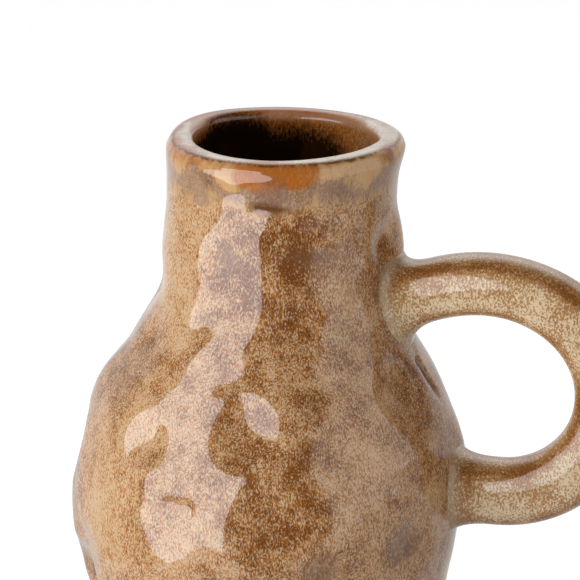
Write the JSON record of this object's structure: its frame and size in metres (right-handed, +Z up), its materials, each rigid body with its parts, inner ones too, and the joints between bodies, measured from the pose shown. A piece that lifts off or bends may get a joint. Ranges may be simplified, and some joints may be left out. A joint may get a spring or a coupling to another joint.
{
  "type": "ceramic pitcher",
  "caption": "Hand-built stoneware jug with a rounded belly, upright neck, thick round rim and ring handle, glazed in mottled brown and cream.",
  "frame": {"origin": "centre of the flat standing face under the base slab", "axes": "+Z up through the mouth, +X towards the handle"},
  "size_m": [0.1885, 0.1289, 0.1915],
  "materials": {
    "glazed_wall": "gloss reactive glaze, amber brown mottled with cream",
    "glazed_handle": "gloss reactive glaze, cream with amber specks",
    "bare_clay": "unglazed fired clay"
  },
  "bodies": {
    "root": {"base_slab": "bare_clay", "foot_course": "glazed_wall", "belly_course": "glazed_wall", "shoulder_course": "glazed_wall", "lower_neck_course": "glazed_wall", "upper_neck_course": "glazed_wall", "rim_coil": "glazed_wall", "handle": "glazed_handle", "upper_luting_coil": "glazed_handle", "lower_luting_coil": "glazed_handle"}
  },
  "joints": []
}
